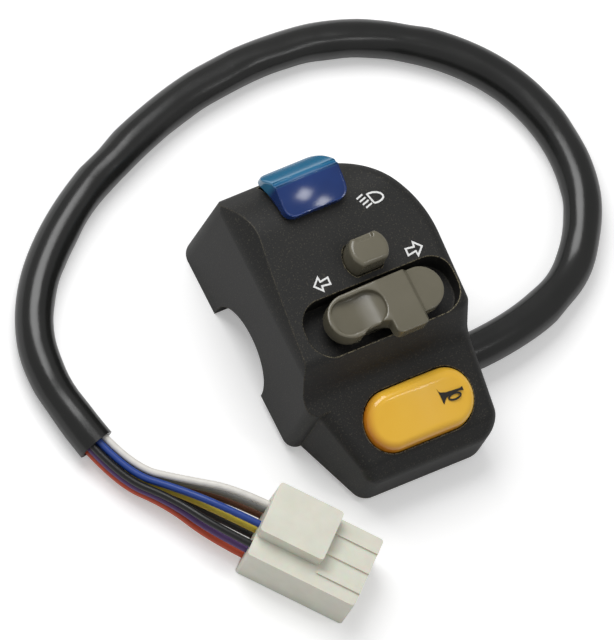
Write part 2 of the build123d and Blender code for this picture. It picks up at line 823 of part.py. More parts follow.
# Base plate that carries the turn signal and pass contacts
turn_rivets = [(knob_x + 2 * k * turn_travel, recess_y) for k in (-1, 0, 1)]
pass_pins = [(pass_x + side * pass_terminal_spread, pass_y) for side in (-1, 1)]
tab_radius = screw_head_radius + base_margin
base_left = main_post_left - tab_radius
base_right = main_post_right + tab_radius
main_base = main_base_top - base_thickness
with BuildPart() as contact_base:
    plate(
        ((base_left + base_right) / 2, recess_y), base_right - base_left, carrier_width + mesh_gap,
        base_corner, main_base, base_thickness,
    )
    pass_tip = pass_y + pass_collar_radius
    plate(
        (pass_x, (recess_y + pass_tip) / 2), 2 * (pass_terminal_spread + tab_radius), pass_tip - recess_y,
        base_corner, main_base, base_thickness,
    )
    discs([(main_post_top_x, main_post_top_y)], tab_radius, main_base, base_thickness)
    block(
        ((pass_x + main_post_top_x) / 2, main_post_top_y - tab_radius / 2),
        main_post_top_x - pass_x, tab_radius, main_base, base_thickness,
    )
    discs(main_posts, screw_shank_radius + screw_clearance, main_base, base_thickness, Mode.SUBTRACT)
    discs(turn_rivets + pass_pins, rivet_shank + bore_gap, main_base, base_thickness, Mode.SUBTRACT)
    discs([(pass_x, pass_y)], pass_stem_radius + slide_gap, main_base, base_thickness, Mode.SUBTRACT)
save(contact_base.part, "contact_base")

with BuildPart() as contact_base_screws:
    screws(main_posts, main_base, screw_reach)
save(contact_base_screws.part, "contact_base_screws")

with BuildPart() as turn_terminals:
    rivets(turn_rivets, rivet_radius, main_base_top + rivet_head, main_base, base_thickness, tag_length)
save(turn_terminals.part, "turn_terminals")

# Pass button: a round cap with two flats, a collar that stops it and a stem
with BuildPart() as pass_button:
    with BuildSketch(Plane.XY.offset(pass_collar_top)):
        with Locations((pass_x, pass_y)):
            Circle(pass_radius)
            Rectangle(3 * pass_radius, pass_flat, mode=Mode.INTERSECT)
    extrude(amount=pass_top - pass_collar_top)
    fillet(pass_button.edges().group_by(Axis.Z)[-1], pass_edge)
    block(
        (pass_x, pass_y + pass_flat / 2), pass_notch_width, 2 * pass_notch_reach,
        pass_top - pass_notch_depth, pass_notch_depth, Mode.SUBTRACT,
    )
    discs([(pass_x, pass_y)], pass_collar_radius, pass_collar_base, pass_collar_height)
    stem_foot = main_base + base_thickness / 2
    discs([(pass_x, pass_y)], pass_stem_radius, stem_foot, pass_collar_base - stem_foot)
save(pass_button.part, "pass_button")

with BuildPart() as pass_contact:
    plate(
        (pass_x, pass_y), pass_contact_length, pass_contact_width, base_corner,
        pass_collar_base - leaf_thickness, leaf_thickness,
    )
    discs(
        [(pass_x, pass_y)], pass_stem_radius + bore_gap,
        pass_collar_base - leaf_thickness, leaf_thickness, Mode.SUBTRACT,
    )
save(pass_contact.part, "pass_contact")

pass_spring = coil(
    Plane(origin=(pass_x, pass_y, main_base_top + seat_gap)), pass_spring_radius, pass_spring_wire,
    pass_collar_base - leaf_thickness - main_base_top - 2 * seat_gap, 4, "pass_spring",
)
save(pass_spring, "pass_spring")

with BuildPart() as pass_terminals:
    pin_top = pass_collar_base - leaf_thickness - pass_travel - seat_gap
    rivets(pass_pins, rivet_shank, pin_top, main_base, base_thickness, tag_length)
save(pass_terminals.part, "pass_terminals")


def horn_block(inset, base):
    """Solid horn button drawn in by inset, its crowned top parallel to the pod's face."""
    slope = math.radians(pod_angle)
    top = pod_z(horn_y) + horn_proud - inset
    with BuildPart() as body:
        with BuildSketch(Plane.XY.offset(base)):
            with Locations((horn_x, horn_y)):
                SlotOverall(horn_length - 2 * inset, horn_width - 2 * inset)
        extrude(amount=2 * face_height)
        across = (0, -math.cos(slope), -math.sin(slope))
        tilted = Plane(origin=(horn_x, horn_y, top), x_dir=(1, 0, 0), z_dir=across)
        with BuildSketch(tilted):
            with BuildLine():
                ThreePointArc((-horn_length, -4 * horn_drop), (0, 0), (horn_length, -4 * horn_drop))
                Polyline(
                    (horn_length, -4 * horn_drop), (horn_length, -face_height),
                    (-horn_length, -face_height), (-horn_length, -4 * horn_drop),
                )
            make_face()
        extrude(amount=face_height, both=True, mode=Mode.INTERSECT)
    return body.part


# Horn button: a hollow cap with a spring seat, two guide stems and two snap lugs
horn_skirt = horn_guide_base - seat_gap - horn_lug_height
horn_stems = [(horn_x + side * horn_stem_spread, horn_y) for side in (-1, 1)]
horn_base_z = horn_base_top - base_thickness
with BuildPart() as horn_button:
    add(horn_block(0, horn_skirt))
    fillet(horn_button.faces().sort_by(Axis.Z)[-1].edges(), horn_crown_radius)
    add(horn_block(horn_wall, horn_skirt - overrun), mode=Mode.SUBTRACT)
    roof = pod_z(horn_y - horn_seat_radius) + horn_proud - horn_wall / 2
    discs([(horn_x, horn_y)], horn_seat_radius, horn_seat_z, roof - horn_seat_z)
    discs([(horn_x, horn_y)], horn_boss_radius, horn_seat_z, roof - horn_seat_z - horn_wall, Mode.SUBTRACT)
    stem_foot = horn_base_z + base_thickness / 2
    discs(horn_stems, horn_stem_radius, stem_foot, roof - stem_foot)
    for side in (-1, 1):
        block(
            (horn_x, horn_y + side * (horn_width / 2 + horn_lug_reach / 2 - horn_wall / 4)),
            horn_lug_width, horn_lug_reach + horn_wall / 2, horn_skirt, horn_lug_height,
        )
save(horn_button.part, "horn_button")

with BuildPart() as horn_contact:
    plate(
        (horn_x, horn_y), horn_contact_length, horn_contact_width, base_corner,
        horn_seat_z - leaf_thickness, leaf_thickness,
    )
save(horn_contact.part, "horn_contact")

horn_spring = coil(
    Plane(origin=(horn_x, horn_y, horn_base_top + seat_gap)), horn_spring_radius, horn_spring_wire,
    horn_seat_z - leaf_thickness - horn_base_top - 2 * seat_gap, 4, "horn_spring",
)
save(horn_spring, "horn_spring")

horn_pins = [(horn_x + side * horn_terminal_spread, horn_y) for side in (-1, 1)]
with BuildPart() as horn_base:
    left_end = horn_x - horn_base_left_reach
    right_end = horn_post_right[0] + horn_base_right_reach
    plate(
        ((left_end + right_end) / 2, horn_y), right_end - left_end, horn_base_width, base_corner,
        horn_base_z, base_thickness,
    )
    discs(horn_posts, tab_radius, horn_base_z, base_thickness)
    tongue_tip = left_end + tab_radius
    tongue_length = tongue_tip - horn_post_left[0]
    block(
        (tongue_tip - tongue_length / 2, horn_post_left[1]), tongue_length, 2 * tab_radius,
        horn_base_z, base_thickness,
    )
    within_walls(horn_base_z, base_thickness)
    discs(bosses, boss_radius + base_margin, horn_base_z, base_thickness, Mode.SUBTRACT)
    discs([(horn_x, horn_y)], horn_boss_radius, horn_base_top, horn_boss_height)
    discs(horn_posts, screw_shank_radius + screw_clearance, horn_base_z, base_thickness, Mode.SUBTRACT)
    discs(horn_stems, horn_stem_radius + slide_gap, horn_base_z, base_thickness, Mode.SUBTRACT)
    discs(horn_pins, rivet_shank + bore_gap, horn_base_z, base_thickness, Mode.SUBTRACT)
save(horn_base.part, "horn_base")

with BuildPart() as horn_base_screws:
    screws(horn_posts, horn_base_z, screw_reach)
save(horn_base_screws.part, "horn_base_screws")

with BuildPart() as horn_terminals:
    pin_top = horn_seat_z - leaf_thickness - horn_travel - seat_gap
    rivets(horn_pins, rivet_shank, pin_top, horn_base_z, base_thickness, horn_tag_length)
save(horn_terminals.part, "horn_terminals")

# Dip rocker: cap over the rolled edge, neck through the slot, hub on the pin and a leaning arm
dip_lean = dip_swing / 2
dip_pivot = Vector(dip_x, dip_pivot_y, dip_pivot_z)
arm_plane = Plane(origin=dip_pivot, x_dir=(1, 0, 0), z_dir=Vector(0, 0, -1).rotate(Axis.X, dip_lean))
with BuildPart() as dip_rocker:
    with BuildSketch(Plane.YZ.offset(dip_x - dip_width / 2)):
        with BuildLine():
            Polyline(
                (cap_front_y, cap_front_z),
                (cap_front_y, cap_front_z + cap_lip_height),
                (cap_ridge_y, cap_ridge_z),
                (cap_ridge_y + cap_groove_width / 2, cap_ridge_z - cap_groove_depth),
                (cap_ridge_y + cap_groove_width, cap_ridge_z - cap_groove_depth),
            )
            ThreePointArc(
                (cap_ridge_y + cap_groove_width, cap_ridge_z - cap_groove_depth),
                (cap_shoulder_y, cap_shoulder_z),
                (cap_back_y, cap_back_z),
            )
            Line((cap_back_y, cap_back_z), (cap_back_y, cap_back_z - cap_tail_height))
            ThreePointArc(
                (cap_back_y, cap_back_z - cap_tail_height),
                (cap_belly_y, cap_belly_z),
                (cap_front_y, cap_front_z),
            )
        make_face()
    extrude(amount=dip_width)
    with BuildSketch(Plane.XY):
        with Locations((dip_x, (cap_front_y + cap_back_y) / 2)):
            RectangleRounded(dip_width, cap_back_y - cap_front_y, cap_corner)
    extrude(amount=2 * face_height, mode=Mode.INTERSECT)
    with BuildSketch(Plane.YZ.offset(dip_x - dip_slot_width / 2 + neck_gap)):
        with BuildLine():
            Polyline(
                (neck_front_y, cap_belly_z + neck_gap),
                (dip_pivot_y - hub_radius, dip_pivot_z),
                (dip_pivot_y + hub_radius, dip_pivot_z),
                (neck_back_y, dip_pivot_z + hub_radius),
                (neck_back_y, cap_back_z + neck_gap),
                close=True,
            )
        make_face()
        with Locations((dip_pivot_y, dip_pivot_z)):
            Circle(hub_radius)
    extrude(amount=dip_slot_width - 2 * neck_gap)
    with BuildSketch(arm_plane):
        Rectangle(arm_width, arm_depth)
    extrude(amount=arm_length)
    with BuildSketch(Plane.YZ.offset(dip_x - dip_width)):
        with Locations((dip_pivot_y, dip_pivot_z)):
            Circle(pin_radius + bore_gap)
    extrude(amount=2 * dip_width, mode=Mode.SUBTRACT)
    with BuildSketch(arm_plane.offset(arm_bore_start)):
        Circle(plunger_radius + mesh_gap)
    extrude(amount=arm_length, mode=Mode.SUBTRACT)
save(dip_rocker.part, "dip_rocker")

with BuildPart() as rocker_pin:
    with BuildSketch(Plane.YZ.offset(dip_x - dip_slot_width / 2 - ear_width)):
        with Locations((dip_pivot_y, dip_pivot_z)):
            Circle(pin_radius)
    extrude(amount=dip_slot_width + 2 * ear_width)
save(rocker_pin.part, "rocker_pin")

# Sprung plunger in the arm, standing on the see-saw contact lever
lever_foot = fulcrum_radius + seat_gap
tip_depth = dip_pivot_z - fulcrum_z - lever_foot - lever_thickness - plunger_radius - seat_gap
with BuildPart() as dip_plunger:
    with BuildSketch(arm_plane.offset(tip_depth - plunger_length)):
        Circle(plunger_radius)
    extrude(amount=plunger_length)
    with Locations(arm_plane.offset(tip_depth).origin):
        Sphere(plunger_radius)
save(dip_plunger.part, "dip_plunger")

dip_spring = coil(
    arm_plane.offset(arm_bore_start + seat_gap), dip_spring_radius, dip_spring_wire,
    tip_depth - plunger_length - arm_bore_start - 2 * seat_gap, 4, "dip_spring",
)
save(dip_spring, "dip_spring")

lever_up = Vector(0, 0, 1).rotate(Axis.X, -dip_lean)
lever_plane = Plane(origin=(dip_x, dip_pivot_y, fulcrum_z), x_dir=(1, 0, 0), z_dir=lever_up)
with BuildPart() as dip_lever:
    with BuildSketch(lever_plane.offset(lever_foot)):
        RectangleRounded(lever_width, lever_length, base_corner)
    extrude(amount=lever_thickness)
save(dip_lever.part, "dip_lever")

dip_base_z = dip_base_top - base_thickness
dip_rivets = [(dip_x, dip_pivot_y + side * dip_contact_spread) for side in (-1, 1)]
with BuildPart() as dip_base:
    plate(
        (dip_x, (dip_base_front + dip_base_back) / 2), 2 * (dip_post_spread + tab_radius),
        dip_base_back - dip_base_front, base_corner, dip_base_z, base_thickness,
    )
    within_walls(dip_base_z, base_thickness)
    discs(dip_posts, screw_shank_radius + screw_clearance, dip_base_z, base_thickness, Mode.SUBTRACT)
    fulcrum_hole = [(dip_x, dip_pivot_y)]
    discs(dip_rivets + fulcrum_hole, rivet_shank + bore_gap, dip_base_z, base_thickness, Mode.SUBTRACT)
save(dip_base.part, "dip_base")

with BuildPart() as dip_base_screws:
    screws(dip_posts, dip_base_z, screw_reach)
save(dip_base_screws.part, "dip_base_screws")

with BuildPart() as dip_terminals:
    contact_top = dip_base_top + dip_contact_height
    rivets(dip_rivets, dip_contact_radius, contact_top, dip_base_z, base_thickness, tag_length)
    with BuildSketch(Plane.YZ.offset(dip_x - lever_width / 2)):
        with Locations((dip_pivot_y, (dip_base_top + fulcrum_z) / 2)):
            Rectangle(2 * fulcrum_radius, fulcrum_z - dip_base_top)
        with Locations((dip_pivot_y, fulcrum_z)):
            Circle(fulcrum_radius)
    extrude(amount=lever_width)
    discs(fulcrum_hole, rivet_shank, dip_base_z, base_thickness)
    block(fulcrum_hole[0], tag_width, tag_thickness, dip_base_z - tag_length, tag_length)
save(dip_terminals.part, "dip_terminals")

# Loom: PVC sleeve laid round the top of the housing on the table
sleeve_floor = floor_z + sleeve_radius
sleeve_route = [
    (half - wall - overrun, sleeve_exit_y, sleeve_exit_z),
    (35, sleeve_exit_y, sleeve_exit_z),
    (57, -14.5, sleeve_floor),
    (69, 0.5, sleeve_floor),
    (71, 19, sleeve_floor),
    (64, 37.5, sleeve_floor),
    (47.5, 52.8, sleeve_floor),
    (26, 61, sleeve_floor),
    (0, 61, sleeve_floor),
    (-26, 53.8, sleeve_floor),
    (-48, 42.5, sleeve_floor),
    (-63, 28, sleeve_floor),
    (-68.5, 10, sleeve_floor),
    (-63.9, -7.7, sleeve_floor),
]
sleeve_end = Vector(*sleeve_route[-1])
sleeve_way = (sleeve_end - Vector(*sleeve_route[-2])).normalized()
with BuildPart() as harness_sleeve:
    add(tube(sleeve_route, sleeve_radius, "harness_sleeve"))
    with BuildSketch(Plane(origin=sleeve_end, z_dir=sleeve_way * -1)):
        Circle(sleeve_inner_radius)
    extrude(amount=sleeve_mouth_depth, mode=Mode.SUBTRACT)
save(harness_sleeve.part, "harness_sleeve")

# Nine-way plug, lying on the table with its wire end towards the sleeve
plug_rear = Vector(plug_rear_x, plug_rear_y, floor_z)
plug_way = Vector(1, 0, 0).rotate(Axis.Z, plug_turn)
plug_side = plug_way.rotate(Axis.Z, 90)
plug_plane = Plane(origin=plug_rear, x_dir=plug_way, z_dir=(0, 0, 1))
cells = [(i, k) for i in (-1, 0, 1) for k in (-1, 0, 1)]


def cell_place(i, k, depth):
    """Centre of a cell's axis at a depth from the plug's wire end."""
    height = Vector(0, 0, plug_height / 2 + k * cell_pitch_z)
    return plug_rear + plug_way * depth + plug_side * (i * cell_pitch_y) + height


def cell_plane(i, k, depth):
    """Plane across a cell, facing the mating end."""
    return Plane(origin=cell_place(i, k, depth), x_dir=plug_side, z_dir=plug_way)


with BuildPart() as connector_housing:
    with BuildSketch(plug_plane):
        with Locations((plug_length / 2, 0)):
            RectangleRounded(plug_length, plug_width, plug_corner)
    extrude(amount=plug_height)
    with BuildSketch(plug_plane.offset(plug_height)):
        with Locations((hood_length / 2, (plug_width - hood_width) / 2)):
            RectangleRounded(hood_length, hood_width, plug_corner)
    extrude(amount=hood_height)
    with BuildSketch(plug_plane.offset(plug_height)):
        for share in (-1, 0, 1):
            with Locations(((plug_length + hood_length) / 2, share * cell_pitch_y)):
                Rectangle(plug_length - hood_length, rib_width)
    extrude(amount=rib_height)
    for i, k in cells:
        with BuildSketch(cell_plane(i, k, plug_length - cell_depth)):
            Rectangle(cell_width, cell_height)
        extrude(amount=plug_length, mode=Mode.SUBTRACT)
        with BuildSketch(cell_plane(i, k, -overrun)):
            Circle(cell_hole_radius)
        extrude(amount=plug_length / 2, mode=Mode.SUBTRACT)
save(connector_housing.part, "connector_housing")

# Nine crimped contacts, each a barrel on the wire and an open box in the cell
with BuildPart() as connector_terminals:
    for i, k in cells:
        with BuildSketch(cell_plane(i, k, wire_grip + seat_gap)):
            Circle(contact_barrel)
        extrude(amount=plug_length - cell_depth - wire_grip)
        with BuildSketch(cell_plane(i, k, plug_length - cell_depth + seat_gap)):
            Rectangle(cell_width - 2 * contact_gap, cell_height - 2 * contact_gap)
        extrude(amount=cell_depth - 2 * overrun)
        with BuildSketch(cell_plane(i, k, plug_length - cell_depth + 2 * overrun)):
            Rectangle(
                cell_width - 2 * (contact_gap + contact_wall), cell_height - 2 * (contact_gap + contact_wall)
            )
        extrude(amount=plug_length, mode=Mode.SUBTRACT)
save(connector_terminals.part, "connector_terminals")

# Nine wires that fan out from the sleeve to the cells of the plug
sleeve_side = Vector(-sleeve_way.Y, sleeve_way.X, 0)
wire_names = {
    (1, 1): "wire_white", (1, 0): "wire_grey", (1, -1): "wire_brown",
    (0, 1): "wire_blue", (0, 0): "wire_yellow", (0, -1): "wire_black",
    (-1, 1): "wire_black_second", (-1, 0): "wire_purple", (-1, -1): "wire_red",
}
bend_side = (sleeve_side + plug_side).normalized()
for (i, k), name in wire_names.items():
    grid = sleeve_side * (i * wire_pitch) + Vector(0, 0, k * wire_pitch)
    bend = Vector(*wire_bend, sleeve_floor + wire_radius)
    bend = bend + bend_side * (i * wire_bend_pitch_y) + Vector(0, 0, k * wire_bend_pitch_z)
    route = [
        sleeve_end - sleeve_way * wire_start + grid,
        sleeve_end + sleeve_way * wire_lead + grid,
        bend,
        cell_place(i, k, -wire_approach),
        cell_place(i, k, wire_grip),
    ]
    save(tube([tuple(p) for p in route], wire_radius, name), name)
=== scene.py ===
# %% [markdown]
# Left handlebar switch of a small motorcycle, lying on its open back on a white table.
# The moulded pieces come from the CAD frame at their real size. This file gives them their
# finishes, lays the loom's soft cords and prints the symbols on the face.

# %% Load the frame
import bpy
import bmesh
import json
import math
from mathutils import Matrix, Vector, noise


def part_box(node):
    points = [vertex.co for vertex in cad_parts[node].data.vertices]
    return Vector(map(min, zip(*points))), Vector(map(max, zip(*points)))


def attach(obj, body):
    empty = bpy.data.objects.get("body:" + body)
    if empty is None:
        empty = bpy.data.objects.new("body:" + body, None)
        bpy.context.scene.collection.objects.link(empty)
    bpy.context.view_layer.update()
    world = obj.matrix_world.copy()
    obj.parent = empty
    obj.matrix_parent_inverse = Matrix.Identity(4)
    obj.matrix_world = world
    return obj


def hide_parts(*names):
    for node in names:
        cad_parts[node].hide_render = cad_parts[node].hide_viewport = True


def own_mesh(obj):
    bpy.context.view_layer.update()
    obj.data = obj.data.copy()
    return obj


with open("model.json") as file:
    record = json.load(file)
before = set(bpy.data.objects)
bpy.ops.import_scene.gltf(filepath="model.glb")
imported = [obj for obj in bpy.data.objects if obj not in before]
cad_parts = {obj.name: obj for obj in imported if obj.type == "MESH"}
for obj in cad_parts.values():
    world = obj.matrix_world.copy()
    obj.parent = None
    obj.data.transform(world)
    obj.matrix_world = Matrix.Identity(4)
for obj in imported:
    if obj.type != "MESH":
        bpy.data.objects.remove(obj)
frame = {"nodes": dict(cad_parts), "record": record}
nodes = frame["nodes"]
slots = {entry["node"]: entry["material_slot"] for entry in frame["record"]["subparts"]}
MM = 0.001
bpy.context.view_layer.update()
print("frame with", len(nodes), "nodes")

# %% [markdown]
# The picture was taken from far enough away to be nearly parallel, from above the left end of
# the handlebar and a little below the switch. A long lens would do, but an orthographic camera
# gives the same view with nothing to tune. Its three axes were solved from the straight edges
# of the housing.

# %% Camera
view_direction = Vector((-0.363, -0.21, 0.908)).normalized()
view_up = Vector((0.352, 0.872, 0.342))
view_right = view_up.cross(view_direction).normalized()
view_up = view_direction.cross(view_right)
view_centre = Vector((-3.6, 1.06, 0)) * MM
view_height = 144.5 * MM
view_distance = 0.6

camera_data = bpy.data.cameras.new("camera")
camera_data.type = "ORTHO"
camera_data.sensor_fit = "VERTICAL"
camera_data.ortho_scale = view_height
camera_data.clip_end = 10
camera = bpy.data.objects.new("camera", camera_data)
bpy.context.scene.collection.objects.link(camera)
camera_axes = Matrix((view_right, view_up, view_direction)).transposed().to_4x4()
camera_place = view_centre + view_direction * view_distance
camera.matrix_world = Matrix.Translation(camera_place) @ camera_axes
bpy.context.scene.camera = camera
print("camera looks along", [round(-c, 3) for c in view_direction])

# %% [markdown]
# A finish starts as a small node tree. Colours are written as they look on a screen, so one
# function turns a hex value into the linear numbers that the shader needs, and another adds
# one node with its settings and links. Pattern sizes are given in real millimetres.

# %% Material helpers
def linear(code):
    """Linear RGBA of an sRGB hex colour."""
    shares = [int(code[i:i + 2], 16) / 255 for i in (0, 2, 4)]
    return [s / 12.92 if s <= 0.04045 else ((s + 0.055) / 1.055) ** 2.4 for s in shares] + [1]


def per_mm(size):
    """Pattern scale whose grains are about size millimetres across."""
    return 1 / (size * MM)


def add_node(material, kind, inputs=None, **settings):
    """Adds a node; an input is a value or an output socket of another node."""
    node = material.node_tree.nodes.new(kind)
    for key, value in settings.items():
        setattr(node, key, value)
    for key, value in (inputs or {}).items():
        if isinstance(value, bpy.types.NodeSocket):
            material.node_tree.links.new(value, node.inputs[key])
        else:
            node.inputs[key].default_value = value
    return node


def start_material(name, **values):
    """An empty material with its shader's own values, and the object coordinates."""
    material = bpy.data.materials.new(name)
    material.use_nodes = True
    shader = material.node_tree.nodes["Principled BSDF"]
    for key, value in values.items():
        shader.inputs[key.replace("_", " ")].default_value = value
    return material, add_node(material, "ShaderNodeTexCoord").outputs["Object"]


def finish_material(material, colour, height=None, strength=0.2, distance=0.05, normal=None):
    """Joins a colour and a fine relief, distance in millimetres, to the material's shader."""
    shader = material.node_tree.nodes["Principled BSDF"]
    material.node_tree.links.new(colour, shader.inputs["Base Color"])
    if height:
        relief = {"Height": height, "Strength": strength, "Distance": distance * MM}
        if normal:
            relief["Normal"] = normal
        bump = add_node(material, "ShaderNodeBump", relief)
        material.node_tree.links.new(bump.outputs["Normal"], shader.inputs["Normal"])
    return material


def dress(piece, material):
    """Puts one material on a piece."""
    piece.data.materials.clear()
    piece.data.materials.append(material)
    print(piece.name, "wears", material.name)


print("screen grey 808080 is", round(linear("808080")[0], 3), "in linear light")

# %% [markdown]
# The loom leaves the right wall in a black PVC sleeve, 9 mm across, that lies on the table and
# loops round the top of the switch. A chain of bends would look like a pipe. A soft sleeve
# takes one smooth line, so its centre line is a NURBS curve through the control points below,
# the same as in the CAD source, with a round section along it.

# %% Cord helper
cord_sharp_angle = math.radians(50)


def lay_cord(name, points, radius):
    """A round cord along a NURBS line through points in millimetres, with its centre line."""
    data = bpy.data.curves.new(name, "CURVE")
    data.dimensions = "3D"
    spline = data.splines.new("NURBS")
    spline.points.add(len(points) - 1)
    for control, place in zip(spline.points, points):
        control.co = (*(c * MM for c in place), 1)
    spline.order_u = 3
    spline.use_endpoint_u = True
    spline.resolution_u = 12
    curve = bpy.data.objects.new(name + "_line", data)
    line = bpy.data.meshes.new_from_object(curve)
    data.bevel_depth = radius * MM
    data.bevel_resolution = 8
    data.use_fill_caps = True
    mesh = bpy.data.meshes.new_from_object(curve)
    bpy.data.objects.remove(curve)
    shape = bmesh.new()
    shape.from_mesh(mesh)
    bmesh.ops.remove_doubles(shape, verts=shape.verts, dist=0.01 * MM)
    for face in shape.faces:
        face.smooth = True
    shape.to_mesh(mesh)
    shape.free()
    mesh.set_sharp_from_angle(angle=cord_sharp_angle)
    cord = bpy.data.objects.new(name, mesh)
    bpy.context.scene.collection.objects.link(cord)
    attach(cord, "root")
    return cord, [v.co.copy() for v in line.vertices]


floor_z = -2.5
sleeve_radius = 4.5
sleeve_z = floor_z + sleeve_radius
sleeve_exit_z = 4.8
sleeve_points = [
    (18.7, -21.5, sleeve_exit_z), (35, -21.5, sleeve_exit_z), (57, -14.5, sleeve_z),
    (69, 0.5, sleeve_z), (71, 19, sleeve_z), (64, 37.5, sleeve_z), (47.5, 52.8, sleeve_z),
    (26, 61, sleeve_z), (0, 61, sleeve_z), (-26, 53.8, sleeve_z), (-48, 42.5, sleeve_z),
    (-63, 28, sleeve_z), (-68.5, 10, sleeve_z), (-63.9, -7.7, sleeve_z),
]
sleeve_end = Vector(sleeve_points[-1])
sleeve_way = (sleeve_end - Vector(sleeve_points[-2])).normalized()
print("sleeve has", len(sleeve_points), "control points")

# %% [markdown]
# The real sleeve is soft tube that was packed flat: long shallow dents break up the streak of
# light along it, and its end is cut square and open, with a wall of 0.9 mm round the wires.
# The curve is turned into a mesh, its end face is inset and pushed in to make the mouth, and
# the dents press its vertices a little inwards, by smooth noise along the tube. They fade out
# towards both ends, where the mouth and the housing hold the tube round.

# %% Sleeve with an open mouth
sleeve_wall = 0.9 * MM
sleeve_bore_depth = 7.5 * MM
dent_length = 21 * MM
dent_depth = 0.9 * MM
dent_fade = 12 * MM
cap_thickness = 0.05 * MM

sleeve, sleeve_line = lay_cord("sleeve", sleeve_points, sleeve_radius)
mouth = sleeve_end * MM
shape = bmesh.new()
shape.from_mesh(sleeve.data)
cap = [
    face for face in shape.faces
    if all(abs((v.co - mouth).dot(sleeve_way)) < cap_thickness for v in face.verts)
]
cap = bmesh.ops.dissolve_faces(shape, faces=cap)["region"]
mouth_edge = {v for face in cap for v in face.verts}
shape.normal_update()
for v in shape.verts:
    if v in mouth_edge:
        continue
    fade = min((v.co - mouth).length, (v.co - sleeve_line[0]).length) / dent_fade
    press = noise.noise(v.co / dent_length) + 0.5 * noise.noise(v.co * 2.3 / dent_length)
    v.co -= v.normal * dent_depth * min(1, fade) * max(0, press)
bmesh.ops.inset_individual(shape, faces=cap, thickness=sleeve_wall)
bore = bmesh.ops.extrude_discrete_faces(shape, faces=cap)["faces"]
bore_corners = list({v for face in bore for v in face.verts})
bmesh.ops.translate(shape, verts=bore_corners, vec=-sleeve_way * sleeve_bore_depth)
bmesh.ops.recalc_face_normals(shape, faces=shape.faces)
shape.to_mesh(sleeve.data)
shape.free()
sleeve.data.set_sharp_from_angle(angle=cord_sharp_angle)
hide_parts("harness_sleeve")
print("sleeve mesh has", len(sleeve.data.polygons), "faces")

# %% [markdown]
# Soft PVC is smooth and half glossy. The streak of light along the sleeve comes from the shader
# and the lamps, so it moves as it should when the sleeve is seen from elsewhere. The material
# only varies its black and its gloss a little.

# %% Soft PVC of the sleeve
def soft_pvc():
    """Extruded soft PVC: a deep black with a wavering gloss and faint waves in its skin."""
    material, place = start_material("soft_pvc", Roughness=0.3, IOR=1.53)
    cloud = add_node(
        material, "ShaderNodeTexNoise", {"Vector": place, "Scale": per_mm(9)}
    ).outputs["Fac"]
    base = add_node(
        material, "ShaderNodeMix",
        {0: cloud, 6: linear("161716"), 7: linear("1F1F1E")}, data_type="RGBA",
    ).outputs[2]
    gloss = add_node(
        material, "ShaderNodeMapRange", {"Value": cloud, "To Min": 0.2, "To Max": 0.3}
    ).outputs["Result"]
    shader = material.node_tree.nodes["Principled BSDF"]
    material.node_tree.links.new(gloss, shader.inputs["Roughness"])
    waves = add_node(
        material, "ShaderNodeTexNoise", {"Vector": place, "Scale": per_mm(2.5)}
    ).outputs["Fac"]
    return finish_material(material, base, waves, 0.15, 0.15)


dress(sleeve, soft_pvc())

# %% [markdown]
# Nine thin wires come out of the sleeve's cut end and fan out to the cells of the plug, each on
# its own gentle curve. Each is a cord of five control points: two that leave the sleeve
# straight, one bend on the way and two that run straight into the plug. They keep their order,
# three by three, so that none crosses another.

# %% Wires
plug_rear = Vector((-39.3, -40.2, floor_z))
plug_way = Matrix.Rotation(math.radians(-50), 3, "Z") @ Vector((1, 0, 0))
plug_side = Matrix.Rotation(math.radians(90), 3, "Z") @ plug_way
plug_middle = Vector((0, 0, 6.0))
cell_pitch_side = 5.4
cell_pitch_up = 3.6
wire_radius = 0.85
wire_pitch = 1.85
wire_start = 5.0
wire_lead = 9.0
wire_approach = 8.0
wire_grip = 4.0
sleeve_side = Vector((-sleeve_way.y, sleeve_way.x, 0))
wire_bend = Vector((-52.0, -25.2, sleeve_z + wire_radius))
bend_side = (sleeve_side + plug_side).normalized()
bend_pitch_side = 2.9
bend_pitch_up = 2.3
wire_shade = 0.82
wire_cells = {
    "wire_white": (1, 1, "F0EDE6"), "wire_grey": (1, 0, "8E8E8C"),
    "wire_brown": (1, -1, "6A3E22"), "wire_blue": (0, 1, "24479A"),
    "wire_yellow": (0, 0, "E4CC3E"), "wire_black": (0, -1, "161616"),
    "wire_black_second": (-1, 1, "1A1A1A"), "wire_purple": (-1, 0, "5B3A76"),
    "wire_red": (-1, -1, "D2522C"),
}


def wire_pvc(name, code):
    """Extruded PVC: one even colour with a soft gloss and a faint ripple along the wire."""
    material, place = start_material("pvc_" + name, Roughness=0.35, IOR=1.53)
    ripple = add_node(
        material, "ShaderNodeTexNoise", {"Vector": place, "Scale": per_mm(1.5)}
    ).outputs["Fac"]
    shade = [c * wire_shade for c in linear(code)[:3]] + [1]
    base = add_node(
        material, "ShaderNodeMix", {0: ripple, 6: shade, 7: linear(code)}, data_type="RGBA"
    ).outputs[2]
    return finish_material(material, base, ripple, 0.1, 0.05)


for name, (column, row, code) in wire_cells.items():
    rise = Vector((0, 0, row))
    grid = sleeve_side * (column * wire_pitch) + rise * wire_pitch
    cell = plug_rear + plug_middle + plug_side * (column * cell_pitch_side) + rise * cell_pitch_up
    points = [
        sleeve_end - sleeve_way * wire_start + grid,
        sleeve_end + sleeve_way * wire_lead + grid,
        wire_bend + bend_side * (column * bend_pitch_side) + rise * bend_pitch_up,
        cell - plug_way * wire_approach,
        cell + plug_way * wire_grip,
    ]
    wire, wire_line = lay_cord(name.replace("wire_", "lead_"), points, wire_radius)
    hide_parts(name)
    dress(wire, wire_pvc(name, code))
print("laid", len(wire_cells), "wires")

